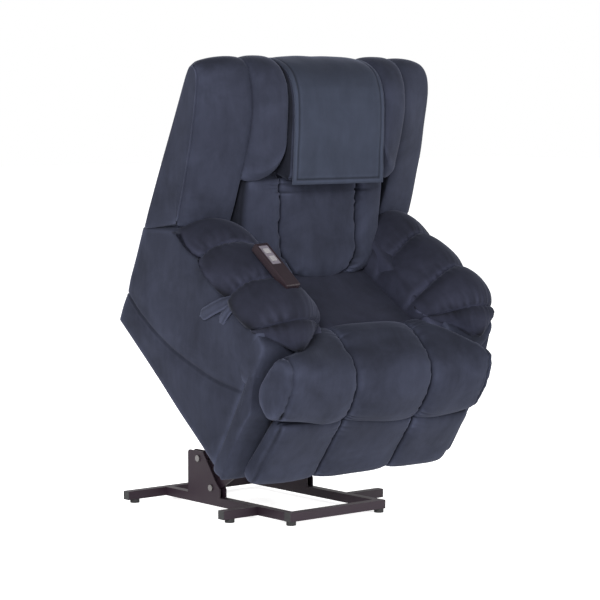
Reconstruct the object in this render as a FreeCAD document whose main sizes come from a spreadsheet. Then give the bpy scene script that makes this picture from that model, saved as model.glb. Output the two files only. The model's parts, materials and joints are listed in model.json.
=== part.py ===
"""Lift recliner chair: a powered base that raises and tips an upholstered recliner.

Millimetres, +Z up. The sitter faces -Y, so the sitter's right hand is on -X.
The origin is the middle of the floor area that the raised chair covers. The chair rests raised:
everything above the base is laid out in a level chair frame, whose origin is the rear lower
corner of the side panels, with +Y to the rear, and is then tipped forward by chair_tip.
"""
import FreeCAD, Part
import math
import os
import Sketcher

Vec = FreeCAD.Vector
Rot = FreeCAD.Rotation
Place = FreeCAD.Placement

DIMENSIONS = [
    # alias, millimetres or degrees, what it is
    ("tube_side", 25.4, "square base tube, outside"),
    ("tube_wall", 1.6, "square base tube, wall"),
    ("foot_drop", 11.0, "underside of the tubes above the floor"),
    ("foot_radius", 14.0, "levelling foot"),
    ("base_back", 135.05, "centre of the base behind the origin"),
    ("side_tube_x", 165.0, "side tubes off the centre plane"),
    ("base_front", 306.7, "front face of the base ahead of its centre"),
    ("base_rear", 306.7, "rear face of the base behind its centre"),
    ("rear_tube_half", 314.0, "half length of the rear cross tube"),
    ("stub_reach", 300.0, "outer end of the front outriggers"),
    ("stub_ahead", 147.0, "front outriggers ahead of the base centre"),
    ("chair_tip", 40.0, "forward tip of the raised chair"),
    ("chair_back", 163.0, "chair frame origin behind the base centre, raised"),
    ("chair_up", 555.0, "chair frame origin above the floor, raised"),
    ("seated_back", 220.0, "chair frame origin behind the base centre, lowered"),
    ("seated_up", 46.0, "chair frame origin above the floor, lowered"),
    ("arm_pivot_y", 60.0, "lift arm pivot behind the base centre"),
    ("arm_pivot_z", 62.0, "lift arm pivot height"),
    ("link_pivot_y", 122.0, "control link pivot behind the base centre"),
    ("link_pivot_z", 142.0, "control link pivot height"),
    ("arm_seat_w", 15.0, "lift arm pivot height in the chair frame"),
    ("link_seat_w", 40.0, "control link pivot height in the chair frame"),
    ("bar_thick", 8.0, "lift arms and control links"),
    ("bar_width", 30.0, "lift arms and control links"),
    ("plate_thick", 4.0, "tower and bracket plates"),
    ("pin_radius", 6.0, "pivot pins"),
    ("pin_play", 0.05, "radial play of a pivot"),
    ("half_width", 430.0, "centre plane to the outside of the side panels"),
    ("panel_thick", 38.0, "side panels"),
    ("board_thick", 15.0, "plywood arm boards"),
    ("pad_inner_x", 170.0, "inside of the arm pads"),
    ("pad_outer_x", 446.0, "outside of the arm pads"),
    ("channel_x", 136.0, "seams between the three channels"),
    ("back_lean", 20.0, "backrest lean, measured in the chair frame"),
    ("gap", 3.0, "clearance between upholstered pieces"),
    ("rod_radius", 10.0, "actuator push rod"),
    ("outer_tube_radius", 17.0, "actuator outer tube"),
    ("button_travel", 1.5, "handset buttons"),
]


def make_sheet(document):
    """The driving dimensions, one named cell each."""
    cells = document.addObject("Spreadsheet::Sheet", "Dimensions")
    for row, (alias, value, meaning) in enumerate(DIMENSIONS, start=1):
        cells.set("A%d" % row, meaning)
        cells.set("B%d" % row, str(value))
        cells.setAlias("B%d" % row, alias)
    return cells


doc = FreeCAD.newDocument("lift_recliner_chair")
sheet = make_sheet(doc)
doc.recompute()
pieces = []


def dim(alias):
    """A driving dimension."""
    return float(sheet.get(alias))


def D(text):
    """An expression in which each {alias} is a cell of the sheet."""
    return text.replace("{", "Dimensions.").replace("}", "")


def keep(thing, label, place=None):
    """Name a finished sub-part and put it in its frame."""
    if place is not None:
        thing.Placement = place.multiply(thing.Placement)
    thing.Label = label
    pieces.append(thing)
    return thing


# ---------------------------------------------------------------- frames

BASE = Place(Vec(0, dim("base_back"), 0), Rot())
CHAIR = BASE.multiply(Place(Vec(0, dim("chair_back"), dim("chair_up")),
                            Rot(Vec(1, 0, 0), dim("chair_tip"))))
SEATED = BASE.multiply(Place(Vec(0, dim("seated_back"), dim("seated_up")), Rot()))


def at(forward, up, across=0.0):
    """A point of the chair frame, from its distance forward and up."""
    return Vec(across, -forward, up)


# ---------------------------------------------------------------- shape helpers

def outline_edges(points):
    """Line and arc geometry of a closed outline of (y, z) or (y, z, corner radius) points."""
    edges = []
    count = len(points)
    ends = []
    for index, point in enumerate(points):
        here = Vec(point[0], point[1], 0)
        radius = point[2] if len(point) > 2 else 0.0
        before = Vec(points[index - 1][0], points[index - 1][1], 0)
        after = Vec(points[(index + 1) % count][0], points[(index + 1) % count][1], 0)
        if radius <= 0:
            ends.append((here, here, None))
            continue
        to_before = (before - here).normalize()
        to_after = (after - here).normalize()
        half = to_before.getAngle(to_after) / 2
        reach = radius / math.tan(half)
        middle = (to_before + to_after).normalize()
        crown = here + middle * (radius / math.sin(half) - radius)
        ends.append((here + to_before * reach, here + to_after * reach, crown))
    for index, (start, finish, crown) in enumerate(ends):
        if crown is not None:
            edges.append(Part.Arc(start, crown, finish))
        following = ends[(index + 1) % count][0]
        if finish.distanceToPoint(following) > 1e-6:
            edges.append(Part.LineSegment(finish, following))
    return edges


def plate(label, points, thickness, across, holes=(), place=None, save=True):
    """A plate or prism: its side outline, padded along X by an expression, about x = across.

    Each hole is (y, z, radius expression).
    """
    body = doc.addObject("PartDesign::Body", label + "_body")
    sketch = body.newObject("Sketcher::SketchObject", label + "_outline")
    plane = [item for item in body.Origin.OriginFeatures if item.Role == "YZ_Plane"][0]
    sketch.AttachmentSupport = [(plane, "")]
    sketch.MapMode = "FlatFace"
    for edge in outline_edges(points):
        sketch.addGeometry(edge, False)
    for y, z, radius in holes:
        circle = sketch.addGeometry(Part.Circle(Vec(y, z, 0), Vec(0, 0, 1), 1.0), False)
        rule = sketch.addConstraint(Sketcher.Constraint("Radius", circle, 1.0))
        sketch.setExpression("Constraints[%d]" % rule, D(radius))
    pad = body.newObject("PartDesign::Pad", label + "_pad")
    pad.Profile = sketch
    pad.setExpression("Length", D(thickness))
    body.Tip = pad
    doc.recompute()
    body.Placement = Place(Vec(across - pad.Length.Value / 2, 0, 0), Rot())
    if save:
        keep(body, label, place)
    return body


def bar_outline(start, end, width):
    """A round-ended bar between two (y, z) pivots, as outline points."""
    along = Vec(end[0] - start[0], end[1] - start[1], 0).normalize()
    side = Vec(-along.y, along.x, 0)
    half = width / 2
    round_end = half * 0.999
    corners = []
    for pivot, way in ((start, -1), (end, 1)):
        centre = Vec(pivot[0], pivot[1], 0) + along * (half * way)
        for turn in (-way, way):
            corner = centre + side * (half * turn)
            corners.append((corner.x, corner.y, round_end))
    return [corners[0], corners[1], corners[2], corners[3]]


def block(label, low, high, place=None, save=True, fillet=0.0):
    """A box between two corners of its own frame."""
    box = doc.addObject("Part::Box", label + "_box")
    box.Length, box.Width, box.Height = (high - low).x, (high - low).y, (high - low).z
    box.Placement = Place(low, Rot())
    if fillet:
        doc.recompute()
        rounded = doc.addObject("Part::Fillet", label + "_rounded")
        rounded.Base = box
        rounded.Edges = [(index + 1, fillet, fillet) for index in range(len(box.Shape.Edges))]
        box = rounded
    if save:
        keep(box, label, place)
    return box


def rod(label, radius, start, end, place=None, save=True):
    """A round bar between two points; its radius is an expression."""
    cylinder = doc.addObject("Part::Cylinder", label + "_rod")
    cylinder.setExpression("Radius", D(radius))
    run = end - start
    cylinder.Height = run.Length
    cylinder.Placement = Place(start, Rot(Vec(0, 0, 1), run))
    if save:
        keep(cylinder, label, place)
    return cylinder


def cut(label, base, tools, place=None, save=True):
    """base with each tool cut away."""
    result = base
    for number, tool in enumerate(tools):
        step = doc.addObject("Part::Cut", "%s_cut%d" % (label, number))
        step.Base, step.Tool = result, tool
        result = step
    if save:
        keep(result, label, place)
    return result


def fuse(label, shapes, place=None, save=True):
    """Several overlapping or touching solids made one."""
    result = doc.addObject("Part::MultiFuse", label + "_fused")
    result.Shapes = shapes
    result.Refine = True
    if save:
        keep(result, label, place)
    return result


def group(label, shapes, place=None):
    """Separate solids that share one node."""
    result = doc.addObject("Part::Compound", label + "_group")
    result.Links = shapes
    return keep(result, label, place)


def prism(label, points, low_x, high_x, place=None, save=True):
    """A soft piece: its side outline swept straight across the chair."""
    return plate(label, points, "%.3f mm" % (high_x - low_x), (low_x + high_x) / 2, place=place, save=save)


def ahead(points):
    """Chair outline points given as (forward, up, radius), turned to (y, z, radius)."""
    return [(-point[0],) + tuple(point[1:]) for point in points]


SIDES = (("right", -1), ("left", 1))
CLEVIS_X = 15.0

# ---------------------------------------------------------------- base

tube = dim("tube_side")
tube_low = dim("foot_drop")
tube_top = tube_low + tube


def square_tube(label, start, end, save=True):
    """A hollow square tube between two points on its centre line, along X or Y."""
    half = Vec(tube / 2, tube / 2, tube / 2)
    along = (end - start).normalize()
    flat = Vec(abs(along.x), abs(along.y), abs(along.z))
    across = Vec(half.x * (1 - flat.x), half.y * (1 - flat.y), half.z)
    low = Vec(min(start.x, end.x), min(start.y, end.y), start.z) - across
    high = Vec(max(start.x, end.x), max(start.y, end.y), start.z) + across
    outer = block(label + "_outer", low, high, save=False)
    wall = dim("tube_wall")
    inset = Vec(wall * (1 - flat.x), wall * (1 - flat.y), wall)
    inner = block(label + "_inner", low + inset, high - inset, save=False)
    hollow = cut(label, outer, [inner], save=False)
    return keep(hollow, label, BASE) if save else hollow


def make_base():
    """The floor frame: two side tubes, cross tubes, outriggers, end caps and feet."""
    mid = tube_low + tube / 2
    front, rear = -dim("base_front"), dim("base_rear")
    side_x = dim("side_tube_x")
    for side, sign in SIDES:
        square_tube("base_side_tube_" + side, Vec(sign * side_x, front + tube, mid),
                    Vec(sign * side_x, rear - tube, mid))
    square_tube("base_front_tube", Vec(-side_x - tube / 2, front + tube / 2, mid),
                Vec(side_x + tube / 2, front + tube / 2, mid))
    square_tube("base_rear_tube", Vec(-dim("rear_tube_half"), rear - tube / 2, mid),
                Vec(dim("rear_tube_half"), rear - tube / 2, mid))
    stubs, caps, feet = [], [], []
    ends = []
    for side, sign in SIDES:
        inner = sign * (side_x + tube / 2)
        outer = sign * dim("stub_reach")
        stub_y = -dim("stub_ahead")
        stubs.append(square_tube("stub_" + side, Vec(inner, stub_y, mid), Vec(outer, stub_y, mid),
                                 save=False))
        ends.append((outer, stub_y, sign))
        ends.append((sign * dim("rear_tube_half"), rear - tube / 2, sign))
        ends.append((sign * (side_x + tube / 2), front + tube / 2, sign))
    group("base_outriggers", stubs, BASE)
    cap_lip, foot_inset = 2.0, 30.0
    for number, (x, y, sign) in enumerate(ends):
        near, far = sorted((x, x + sign * cap_lip))
        caps.append(block("cap%d" % number, Vec(near, y - tube / 2, tube_low),
                          Vec(far, y + tube / 2, tube_top), save=False))
        inset = tube / 2 if abs(x) < side_x + tube else foot_inset
        foot_x = x - sign * inset
        feet.append(rod("foot%d" % number, "{foot_radius}", Vec(foot_x, y, 0), Vec(foot_x, y, tube_low),
                        save=False))
    group("tube_end_caps", caps, BASE)
    group("base_feet", feet, BASE)


def make_towers():
    """The lift towers: two plates on each side tube carry the arm and link pivots."""
    tower_front, tower_rear, tower_top = 18.0, 172.0, 164.0
    step_back, step_up = 100.0, 84.0
    points = [(tower_front, tube_top), (tower_rear, tube_top), (tower_rear, tower_top, 10.0),
              (step_back, tower_top, 12.0), (tower_front + 22.0, step_up, 20.0),
              (tower_front, step_up - 22.0, 8.0)]
    holes = [(dim("arm_pivot_y"), dim("arm_pivot_z"), "{pin_radius}"),
             (dim("link_pivot_y"), dim("link_pivot_z"), "{pin_radius}")]
    half = tube / 2 - dim("plate_thick") / 2
    pins = []
    for side, sign in SIDES:
        plates = [plate("tower_%s_%s" % (side, where), points, "{plate_thick}",
                        sign * (dim("side_tube_x") + offset), holes, save=False)
                  for where, offset in (("outer", half), ("inner", -half))]
        group("lift_tower_" + side, plates, BASE)
        head = 4.0
        for name, y, z in (("arm", dim("arm_pivot_y"), dim("arm_pivot_z")),
                           ("link", dim("link_pivot_y"), dim("link_pivot_z"))):
            inner = sign * (dim("side_tube_x") - tube / 2)
            outer = sign * (dim("side_tube_x") + tube / 2)
            shank = rod("%s_pin_%s" % (name, side), "{pin_radius}", Vec(inner, y, z), Vec(outer, y, z),
                        save=False)
            bolt_head = rod("%s_head_%s" % (name, side), "{pin_radius} * 1.6", Vec(outer, y, z),
                            Vec(outer + sign * head, y, z), save=False)
            pins.append(fuse("%s_bolt_%s" % (name, side), [shank, bolt_head], save=False))
    pivot = actuator_points()[0]
    reach = CLEVIS_X + dim("plate_thick") / 2
    pins.append(rod("clevis_pin", "{pin_radius}", pivot - Vec(reach, 0, 0), pivot + Vec(reach, 0, 0),
                    save=False))
    group("base_pivot_bolts", pins, BASE)


def actuator_points():
    """Base clevis and chair end of the lift actuator, in the base and chair frames."""
    return Vec(0, 255, 60), at(350, 150)


def make_clevis():
    """The rear clevis that the actuator swings on, welded on the rear cross tube."""
    pivot = actuator_points()[0]
    rear = dim("base_rear")
    points = [(rear - tube, tube_low), (rear - tube, pivot.z + 14, 8.0),
              (pivot.y - 14, pivot.z + 14, 12.0), (pivot.y - 14, pivot.z - 14, 12.0),
              (pivot.y + 6, tube_low)]
    ears = [plate("clevis_%s" % side, points, "{plate_thick}", sign * CLEVIS_X,
                  [(pivot.y, pivot.z, "{pin_radius}")], save=False) for side, sign in SIDES]
    group("actuator_clevis", ears, BASE)


# ---------------------------------------------------------------- lift linkage

def seat_pivot(pivot_y, pivot_z, up):
    """Where a bar of fixed length from a base pivot meets the chair at height `up`, so that it
    reaches both the raised and the lowered chair. Returns the distance forward."""
    pivot = Vec(0, pivot_y + dim("base_back"), pivot_z)

    def mismatch(forward):
        raised = CHAIR.multVec(at(forward, up)) - pivot
        lowered = SEATED.multVec(at(forward, up)) - pivot
        return raised.Length ** 2 - lowered.Length ** 2

    slope = mismatch(1.0) - mismatch(0.0)
    return -mismatch(0.0) / slope


ARM_FORWARD = seat_pivot(dim("arm_pivot_y"), dim("arm_pivot_z"), dim("arm_seat_w"))
LINK_FORWARD = seat_pivot(dim("link_pivot_y"), dim("link_pivot_z"), dim("link_seat_w"))
ARM_X = dim("side_tube_x") - 4.4
LINK_X = dim("side_tube_x") + 4.4


def pivot_hole(point, radius):
    """A hole for plate() at a 3-D point."""
    return (point.y, point.z, radius)


def make_lift_arms():
    """Main lift arms, the torque tube that joins them, and the pins that carry the chair."""
    low = BASE.multVec(Vec(0, dim("arm_pivot_y"), dim("arm_pivot_z")))
    high = CHAIR.multVec(at(ARM_FORWARD, dim("arm_seat_w")))
    running = "{pin_radius} + {pin_play}"
    arms, pins = [], []
    for side, sign in SIDES:
        arms.append(plate("lift_arm_" + side,
                          bar_outline((low.y, low.z), (high.y, high.z), dim("bar_width")),
                          "{bar_thick}", sign * ARM_X,
                          [pivot_hole(low, running), pivot_hole(high, "{pin_radius}")], save=False))
        inner = Vec(sign * (ARM_X - 22), high.y, high.z)
        outer = Vec(sign * (ARM_X + dim("bar_thick") / 2), high.y, high.z)
        pins.append(rod("chair_pin_" + side, "{pin_radius}", inner, outer, save=False))
    group("lift_arms", arms)
    group("chair_pins", pins)
    middle = low + (high - low) * 0.48
    half = ARM_X - dim("bar_thick") / 2
    torque = rod("torque_outer", "{tube_side} / 2", Vec(-half, middle.y, middle.z),
                 Vec(half, middle.y, middle.z), save=False)
    hollow = rod("torque_inner", "{tube_side} / 2 - {tube_wall}", Vec(-half, middle.y, middle.z),
                 Vec(half, middle.y, middle.z), save=False)
    cut("lift_cross_tube", torque, [hollow])


def make_control_links():
    """Upper links that set the tip of the chair. Their chair ends are the open pivots."""
    low = BASE.multVec(Vec(0, dim("link_pivot_y"), dim("link_pivot_z")))
    high = CHAIR.multVec(at(LINK_FORWARD, dim("link_seat_w")))
    links = [plate("control_link_" + side,
                   bar_outline((low.y, low.z), (high.y, high.z), dim("bar_width") * 0.8),
                   "{bar_thick} - 1", sign * LINK_X,
                   [pivot_hole(low, "{pin_radius} + {pin_play}"), pivot_hole(high, "{pin_radius}")],
                   save=False) for side, sign in SIDES]
    group("control_links", links)


def make_actuator():
    """The lift actuator: motor, outer tube and push rod, seen from its own pivot along +Z."""
    clevis, seat_end = actuator_points()
    start = BASE.multVec(clevis)
    end = CHAIR.multVec(seat_end)
    length = (end - start).Length
    along = Place(start, Rot(Vec(0, 0, 1), end - start))
    gearbox_end, tube_end, rod_start = 112.0, 372.0, 305.0
    eye = rod("eye_round", "{pin_radius} * 2.4", Vec(-11, 0, 0), Vec(11, 0, 0), save=False)
    shank = block("eye_shank", Vec(-11, -11, 0), Vec(11, 11, 34), save=False)
    bore = rod("eye_bore", "{pin_radius} + {pin_play}", Vec(-12, 0, 0), Vec(12, 0, 0), save=False)
    rear = fuse("eye_solid", [eye, shank], save=False)
    cut("actuator_rear_eye", rear, [bore], along)
    block("actuator_gearbox", Vec(-30, -30, 34), Vec(94, 30, gearbox_end), along, fillet=6.0)
    rod("actuator_motor", "{outer_tube_radius} * 1.65", Vec(62, 0, gearbox_end), Vec(62, 0, 232), along)
    outer = rod("tube_outer", "{outer_tube_radius}", Vec(0, 0, gearbox_end), Vec(0, 0, tube_end), save=False)
    inner = rod("tube_inner", "{rod_radius} + 0.5", Vec(0, 0, gearbox_end), Vec(0, 0, tube_end), save=False)
    cut("actuator_outer_tube", outer, [inner], along)
    tongue = block("rod_tongue", Vec(-7, -12, length - 26), Vec(7, 12, length + 14), save=False)
    push = rod("rod_bar", "{rod_radius}", Vec(0, 0, rod_start), Vec(0, 0, length - 20), save=False)
    fuse("actuator_rod", [push, tongue], along)


# ---------------------------------------------------------------- seat unit: steel and wood

def make_mechanism():
    """Steel side plates under the seat, their cross tubes and the actuator's chair bracket."""
    arm_pivot = at(ARM_FORWARD, dim("arm_seat_w"))
    plate_x = ARM_X - 16
    points = ahead([(ARM_FORWARD + 22, 0, 10.0), (ARM_FORWARD + 22, 60, 20.0), (500, 176), (478, 176),
                    (440, 110, 40.0), (100, 190, 10.0), (54, 190), (54, 164, 10.0),
                    (ARM_FORWARD - 60, 0, 30.0)])
    plates = [plate("mechanism_plate_" + side, points, "{plate_thick}", sign * plate_x,
                    [pivot_hole(arm_pivot, "{pin_radius} + {pin_play}")], save=False)
              for side, sign in SIDES]
    group("mechanism_plates", plates, CHAIR)
    link_pivot = at(LINK_FORWARD, dim("link_seat_w"))
    ears = []
    for side, sign in SIDES:
        outline = ahead([(LINK_FORWARD + 18, 24, 8.0), (498, 176), (480, 176),
                         (LINK_FORWARD - 18, 70, 10.0), (LINK_FORWARD - 18, 24, 8.0)])
        ear_x = LINK_X + 12
        ears.append(plate("link_ear_" + side, outline, "{plate_thick}", sign * ear_x, save=False))
        ears.append(rod("link_stub_" + side, "{pin_radius}", link_pivot + Vec(sign * (LINK_X + 4), 0, 0),
                        link_pivot + Vec(sign * (ear_x - dim("plate_thick") / 2), 0, 0), save=False))
    group("control_link_brackets", ears, CHAIR)
    half = plate_x - dim("plate_thick") / 2
    tubes = [rod("cross_%d" % number, "{tube_side} / 2", at(forward, up, -half), at(forward, up, half),
                 save=False) for number, (forward, up) in enumerate(((150, 160), (397, 150)))]
    group("mechanism_cross_tubes", tubes, CHAIR)
    pivot = actuator_points()[1]
    outline = ahead([(384, 140), (384, 160), (350, 166, 10.0), (332, 166, 10.0), (332, 134, 10.0),
                     (350, 134, 10.0)])
    brackets = []
    for side, sign in SIDES:
        brackets.append(plate("ear_" + side, outline, "{plate_thick}", sign * 16,
                              [pivot_hole(pivot, "{pin_radius}")], save=False))
        brackets.append(rod("stub_pin_" + side, "{pin_radius}", pivot + Vec(sign * 9, 0, 0),
                            pivot + Vec(sign * 18, 0, 0), save=False))
    group("actuator_bracket", brackets, CHAIR)


def make_seat_frame():
    """Wooden seat box: side boards, front and rear rails, and the springs across them."""
    board = dim("board_thick")
    inner = dim("half_width") - dim("panel_thick")
    side_outline = ahead([(20, 20), (556, 20), (524, 200), (470, 400), (80, 400), (-6, 330), (-60, 280)])
    boards = [plate("arm_board_" + side, side_outline, "{board_thick}", sign * (inner - board / 2),
                    save=False) for side, sign in SIDES]
    group("arm_boards", boards, CHAIR)
    reach = inner - board
    rails = [block("front_rail", at(500, 176, -reach), at(478, 214, reach), save=False),
             block("rear_rail", at(72, 190, -reach), at(50, 258, reach), save=False)]
    for side, sign in SIDES:
        low, high = sorted((sign * (reach - 120), sign * (reach - 98)))
        rails.append(block("deck_rail_" + side, at(478, 166, low), at(72, 190, high), save=False))
    group("seat_rails", rails, CHAIR)
    springs = []
    for number in range(6):
        x = -200 + 80 * number
        springs.append(block("spring%d" % number, at(478, 200, x - 14), at(72, 204, x + 14), save=False))
    group("seat_springs", springs, CHAIR)
    block("power_supply", at(250, 60, 190), at(120, 104, 262), CHAIR, fillet=4.0)


# ---------------------------------------------------------------- seat unit: upholstery

PANEL = [(0, 0, 8.0), (577, 0, 8.0), (547, 190, 60.0), (506, 352), (486, 428, 8.0), (60, 416), (-23, 350),
         (-88, 286, 6.0)]


def make_panels():
    """Upholstered side panels, front posts, rear panel, and the fabric pull on the right side."""
    outer, thick = dim("half_width"), dim("panel_thick")
    post_inner = 340.0
    posts = []
    for side, sign in SIDES:
        plate("side_panel_" + side, ahead(PANEL), "{panel_thick}", sign * (outer - thick / 2), place=CHAIR)
        low, high = sorted((sign * post_inner, sign * (outer - thick - 0.5)))
        post = ahead([(616, 4, 6.0), (588, 206, 10.0), (530, 206), (562, 4)])
        posts.append(prism("front_post_" + side, post, low, high, save=False))
    group("front_posts", posts, CHAIR)
    reach = outer - thick - dim("board_thick")
    rear = ahead([(-2, 90), (-43, 230), (-25, 234), (16, 96)])
    prism("rear_panel", rear, -reach, reach, CHAIR)
    pull_outer = outer + 16.0
    pull = ahead([(336, 430), (362, 430), (362, 345, 8.0), (345, 332, 8.0), (300, 300, 8.0), (276, 304, 8.0),
                  (278, 320, 8.0)])
    prism("side_pull", pull, -pull_outer, -outer - 0.5, CHAIR)


def make_arms():
    """Arm pads: a long pillow whose front end rolls down over the arm, and the inner arm panels."""
    inner, outer = dim("pad_inner_x"), dim("pad_outer_x")
    pillow = ahead([(26, 436), (32, 446, 8.0), (130, 487, 60.0), (236, 512, 60.0), (424, 512, 60.0),
                    (505, 524, 30.0), (558, 494, 30.0), (562, 400, 20.0), (540, 388, 8.0), (505, 396),
                    (500, 436)])
    for side, sign in SIDES:
        low, high = sorted((sign * inner, sign * outer))
        prism("arm_pad_" + side, pillow, low, high, CHAIR)
        panel_outer = dim("half_width") - dim("panel_thick") - dim("board_thick") - 2
        low, high = sorted((sign * (inner + 30), sign * panel_outer))
        face = ahead([(80, 262), (80, 430), (470, 430, 10.0), (496, 344), (496, 330), (440, 262)])
        prism("inner_arm_" + side, face, low, high, CHAIR)


def make_seat():
    """Seat cushion and the full-width front roll with its three channels."""
    inner = dim("pad_inner_x")
    cushion = ahead([(84, 208), (84, 338, 12.0), (210, 350, 60.0), (440, 384, 12.0), (440, 208)])
    prism("seat_cushion", cushion, -inner - 27, inner + 27, CHAIR)
    crown = ahead([(444, 222), (444, 388, 14.0), (520, 408, 50.0), (630, 400, 60.0), (656, 300, 60.0),
                   (644, 216, 20.0), (520, 216)])
    channel = dim("channel_x")
    rolls = [prism("roll_centre", crown, -channel, channel, save=False)]
    low_crown = ahead([(554, 222), (554, 330, 8.0), (608, 334, 4.0), (628, 380, 8.0), (648, 350, 20.0),
                       (656, 290, 50.0), (644, 216, 20.0), (600, 216)])
    for side, sign in SIDES:
        low, high = sorted((sign * (channel + 0.5), sign * (dim("half_width") - 8)))
        rolls.append(prism("roll_" + side, low_crown, low, high, save=False))
    group("seat_roll", rolls, CHAIR)


# ---------------------------------------------------------------- backrest

BACK_FOOT = (201.0, 356.0)
RECLINE = (-40.0, 260.0)
BACK = CHAIR.multiply(Place(at(*BACK_FOOT), Rot(Vec(1, 0, 0), -dim("back_lean"))))


def make_backrest():
    """Backrest, in its own frame: +Z up along the leaning back, its front face near y = 0."""
    top = 560.0
    rear = 275.0
    waist = 268.0
    half = dim("half_width")
    inner = 244.0
    gap = dim("gap")
    crest = 258.0
    shell = [(rear - 30, 34, 10.0), (rear, 60, 10.0), (crest, top - 50, 40.0), (crest - 30, top - 1, 20.0),
             (crest - 44, top - 4), (crest - 26, top - 80, 40.0), (rear - 26, 34)]
    prism("back_outer_shell", shell, -inner + gap, inner - gap, BACK)
    wing = [(112, 206, 10.0), (106, 300, 60.0), (108, 420, 60.0), (146, 510, 50.0), (178, top, 30.0),
            (crest - 6, top, 16.0), (crest, top - 40, 20.0), (rear, 54, 10.0), (212, 82, 6.0),
            (150, 112, 6.0), (150, 196, 6.0)]
    for side, sign in SIDES:
        low, high = sorted((sign * inner, sign * half))
        prism("back_wing_" + side, wing, low, high, BACK)
    reach = inner - gap
    upper = [(22, waist + gap, 12.0), (34, 340, 80.0), (66, 450, 80.0), (118, top - 18, 50.0),
             (160, top - 8, 30.0), (160, waist + gap)]
    prism("upper_back_cushion", upper, -reach, reach, BACK)
    narrow = dim("pad_inner_x") - gap
    lower = [(6, 6, 12.0), (24, 50, 60.0), (48, 120, 80.0), (70, 196), (160, 196), (160, 58)]
    wide = [(70, 196), (96, waist, 20.0), (160, waist), (160, 196)]
    fuse("lumbar_cushion", [prism("lumbar_low", lower, -narrow, narrow, save=False),
                            prism("lumbar_wide", wide, -reach, reach, save=False)], BACK)
    frame = []
    for side, sign in SIDES:
        low, high = sorted((sign * 196, sign * 218))
        frame.append(block("post_" + side, Vec(low, 164, 4), Vec(high, 200, top - 90), save=False))
    frame += [block("rail%d" % number, Vec(-196, 176, low), Vec(196, 198, low + 60), save=False)
              for number, low in enumerate((30, top - 160))]
    group("back_frame", frame, BACK)
    springs = [block("spring%d" % number, Vec(x - 14, 172, 90), Vec(x + 14, 176, top - 160), save=False)
               for number, x in enumerate((-120, -40, 40, 120))]
    group("back_springs", springs, BACK)
    cover_half, thick = 166.0, 5.0
    cover = [(14, waist), (19, waist), (33, 340, 80.0), (65, 451, 80.0), (116, top - 16, 50.0),
             (150, top + 1.5), (216, top + 1.5), (216, top + 1.5 + thick), (148, top + 1.5 + thick),
             (111, top - 14, 50.0), (60, 453, 80.0), (28, 341, 80.0)]
    prism("headrest_cover", cover, -cover_half, cover_half, BACK)


def make_back_hinges():
    """Recline hinges: brackets on the back posts turn on bolts in plates on the seat box."""
    pivot = at(*RECLINE)
    foot = BACK.inverse().multVec(CHAIR.multVec(pivot))
    brackets, bolts, plates = [], [], []
    for side, sign in SIDES:
        bracket_x = sign * 221
        outline = [(foot.y - 18, foot.z - 18, 14.0), (foot.y + 16, foot.z - 18, 14.0), (foot.y + 8, 10),
                   (212, 80), (212, 110), (180, 110)]
        brackets.append(plate("hinge_" + side, outline, "{plate_thick}", bracket_x,
                              [(foot.y, foot.z, "{pin_radius} + {pin_play}")], save=False))
        ends = sorted((sign * 217, sign * 234))
        bolts.append(rod("hinge_bolt_" + side, "{pin_radius}", Vec(ends[0], pivot.y, pivot.z),
                         Vec(ends[1], pivot.y, pivot.z), save=False))
        seat_plate = ahead([(-62, 244, 8.0), (-62, 282, 8.0), (-30, 286, 8.0), (48, 252), (48, 204),
                            (-20, 240)])
        plates.append(plate("hinge_plate_" + side, seat_plate, "{plate_thick}", sign * 229,
                            [(pivot.y, pivot.z, "{pin_radius}")], save=False))
    group("back_hinge_brackets", brackets, BACK)
    group("back_hinge_plates", plates + bolts, CHAIR)


# ---------------------------------------------------------------- footrest

FOOT_ROOT = (520.0, 150.0)
FOOT_KNEE = (372.0, 128.0)
FOOT_BOARD = (606.0, 100.0)
FOOT_X = 250.0


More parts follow.
